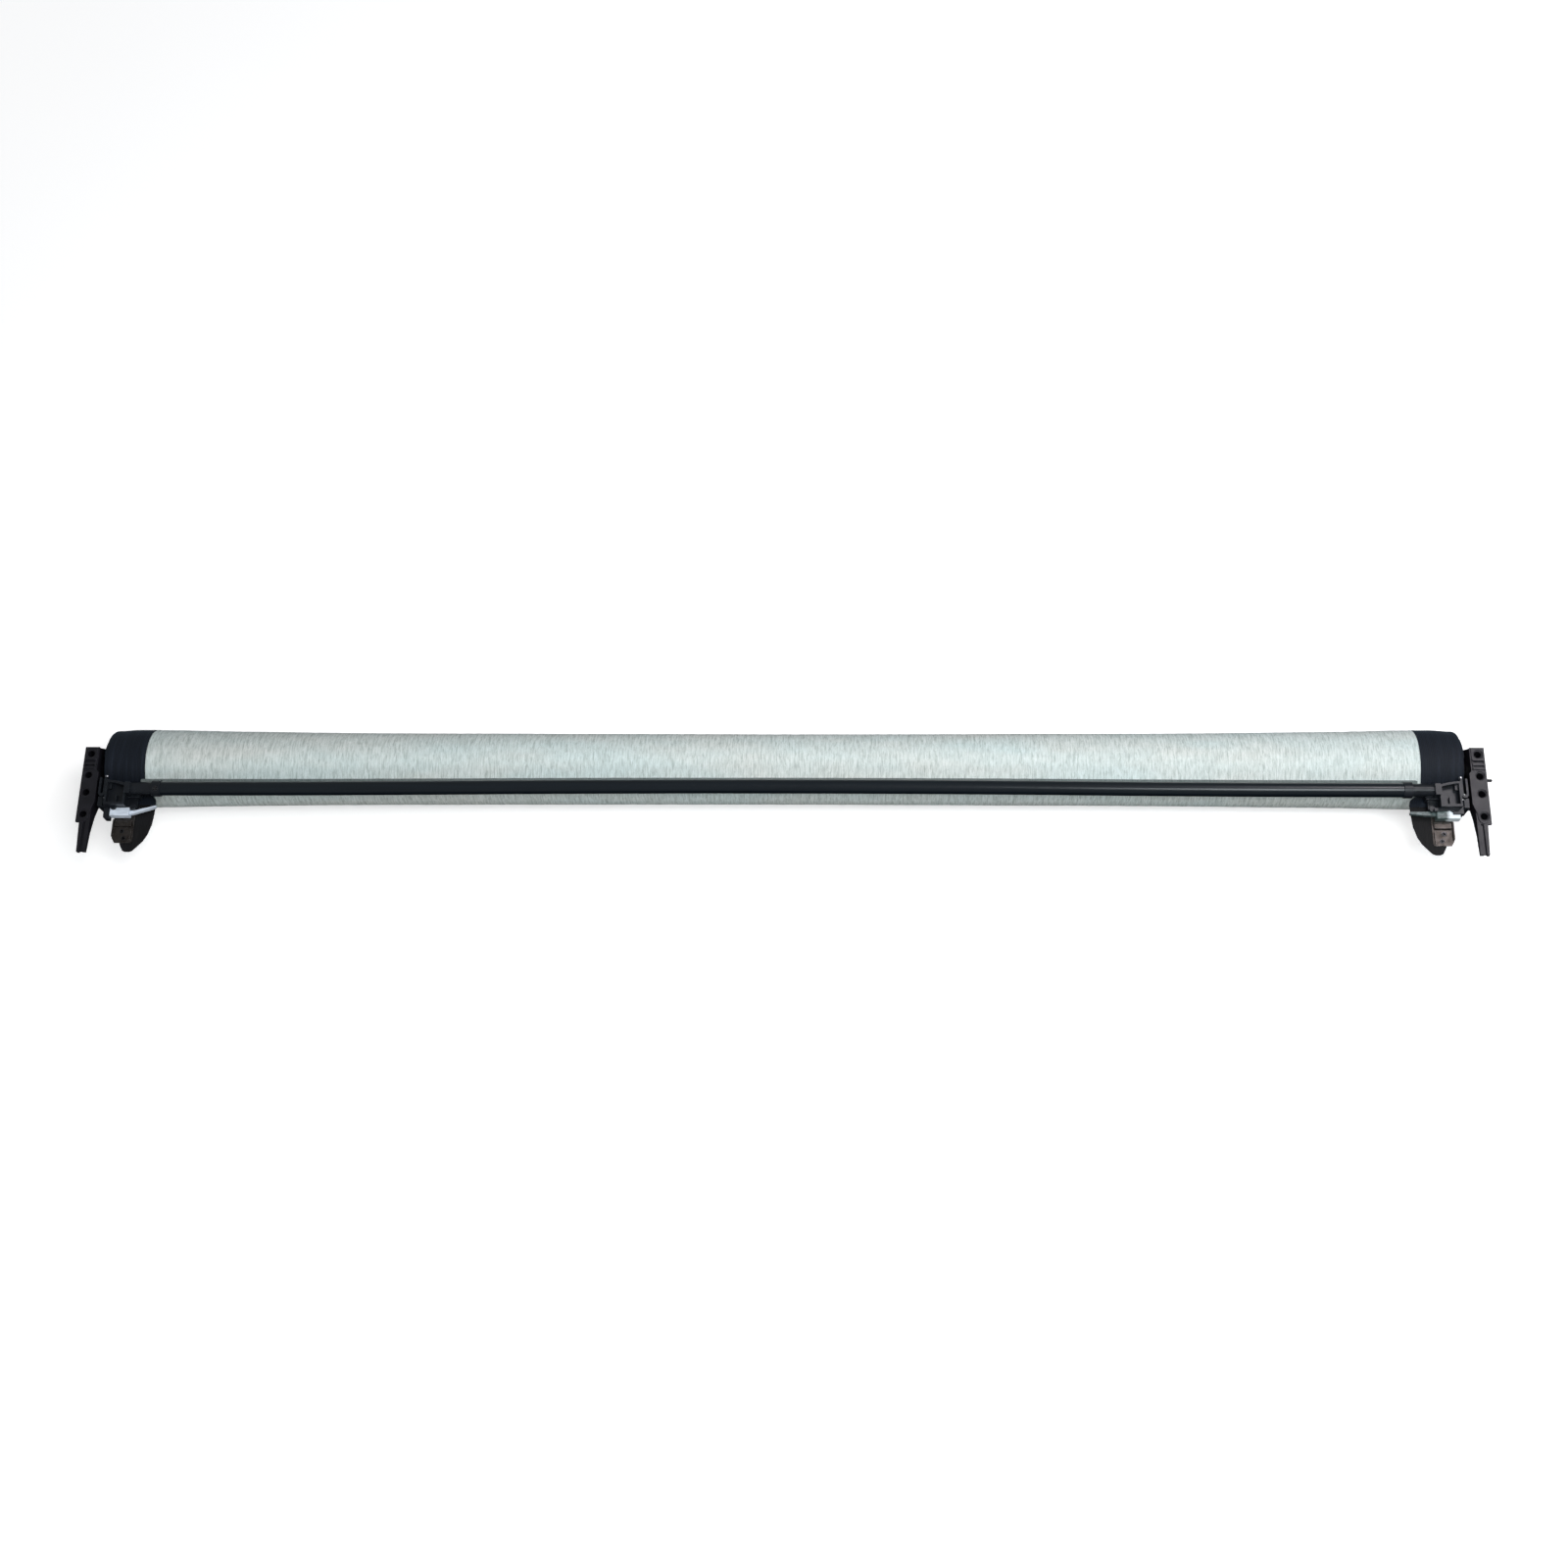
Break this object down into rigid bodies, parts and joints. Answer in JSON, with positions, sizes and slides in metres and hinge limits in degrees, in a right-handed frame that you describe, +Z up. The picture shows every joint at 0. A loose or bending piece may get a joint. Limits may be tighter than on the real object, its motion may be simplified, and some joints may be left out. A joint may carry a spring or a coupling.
{
  "type": "roof roller blind",
  "caption": "Spring-loaded roller blind for a vehicle's glass roof: light curtain with dark side tapes on a tube between screw-down end brackets, with a pull bar.",
  "frame": {"origin": "centre of the rectangle of the four fixing screws, on the under face of the bracket flanges, which rests on the roof frame", "axes": "+X along the winding tube, towards the bracket with the locating peg; -Y the way the pull bar is drawn out; +Z up, along the screws, away from the roof frame"},
  "size_m": [0.9787, 0.1002, 0.0609],
  "materials": {
    "curtain_fabric": "crepe weave, light grey",
    "side_tape": "ribbed woven tape, black",
    "black_bar": "gloss black",
    "bracket_nylon": "moulded, glass-filled",
    "carriage_nylon": "moulded, satin",
    "white_acetal": "moulded, natural white",
    "bush_acetal": "moulded, natural",
    "clip_steel": "pressed, phosphate dull",
    "plated_steel": "zinc plated",
    "spring_steel": "oiled",
    "aluminium_tube": "extruded",
    "flock": "flocked",
    "buffer_rubber": "matt"
  },
  "bodies": {
    "frame": {"bracket_left": "bracket_nylon", "bracket_right": "bracket_nylon", "axle_bush_right": "bush_acetal", "spring_core_rod": "plated_steel", "core_rod_clip": "plated_steel", "spring_anchor_hub": "bush_acetal", "torsion_spring": "spring_steel", "spring_flock_sleeve": "flock", "stop_buffer_left": "buffer_rubber", "stop_buffer_right": "buffer_rubber"},
    "roller": {"roll_tube": "aluminium_tube", "tube_plug_left": "bracket_nylon", "plug_bush_left": "bush_acetal", "tube_plug_right": "bracket_nylon", "stub_axle": "plated_steel", "spring_carrier_plug": "bracket_nylon", "curtain_anchor_strip": "bracket_nylon", "curtain_roll": "curtain_fabric", "tape_roll_left": "side_tape", "tape_roll_right": "side_tape"},
    "pull_bar": {"pull_bar_tube": "black_bar", "bar_collar_left": "carriage_nylon", "bar_collar_right": "carriage_nylon", "bar_screw_left": "plated_steel", "curtain_lead": "curtain_fabric", "curtain_hem": "curtain_fabric", "curtain_hem_welt": "curtain_fabric", "tape_lead_left": "side_tape", "tape_lead_right": "side_tape", "carriage_left": "carriage_nylon", "carriage_right": "carriage_nylon", "glide_shoe_left": "white_acetal", "glide_shoe_right": "white_acetal", "side_spring_left": "carriage_nylon", "side_spring_right": "carriage_nylon", "side_spring_pin_left": "plated_steel", "side_spring_pin_right": "plated_steel", "tape_tongue_left": "side_tape", "tape_tongue_right": "side_tape", "tape_clip_left": "clip_steel", "tape_clip_right": "clip_steel", "clip_rivets_left": "clip_steel", "clip_rivets_right": "clip_steel", "clip_screw_left": "plated_steel", "clip_screw_right": "plated_steel"}
  },
  "joints": [
    {"name": "curtain_pull", "type": "slide", "parent": "frame", "child": "pull_bar", "axis": [0, -1, 0], "range_m": [0, 1.05], "stiffness_N_per_m": 5, "springref_m": -1.5, "deforming": ["curtain_lead", "tape_lead_left", "tape_lead_right"]},
    {"name": "roll_spin", "type": "hinge", "parent": "frame", "child": "roller", "pos_m": [0, 0.0216, -0.025], "axis": [1, 0, 0], "range_deg": [0, 2865], "deforming": ["torsion_spring"]}
  ],
  "couplings": [
    {"joint": "roll_spin", "follows": "curtain_pull", "rad_per_m": 47.5}
  ]
}
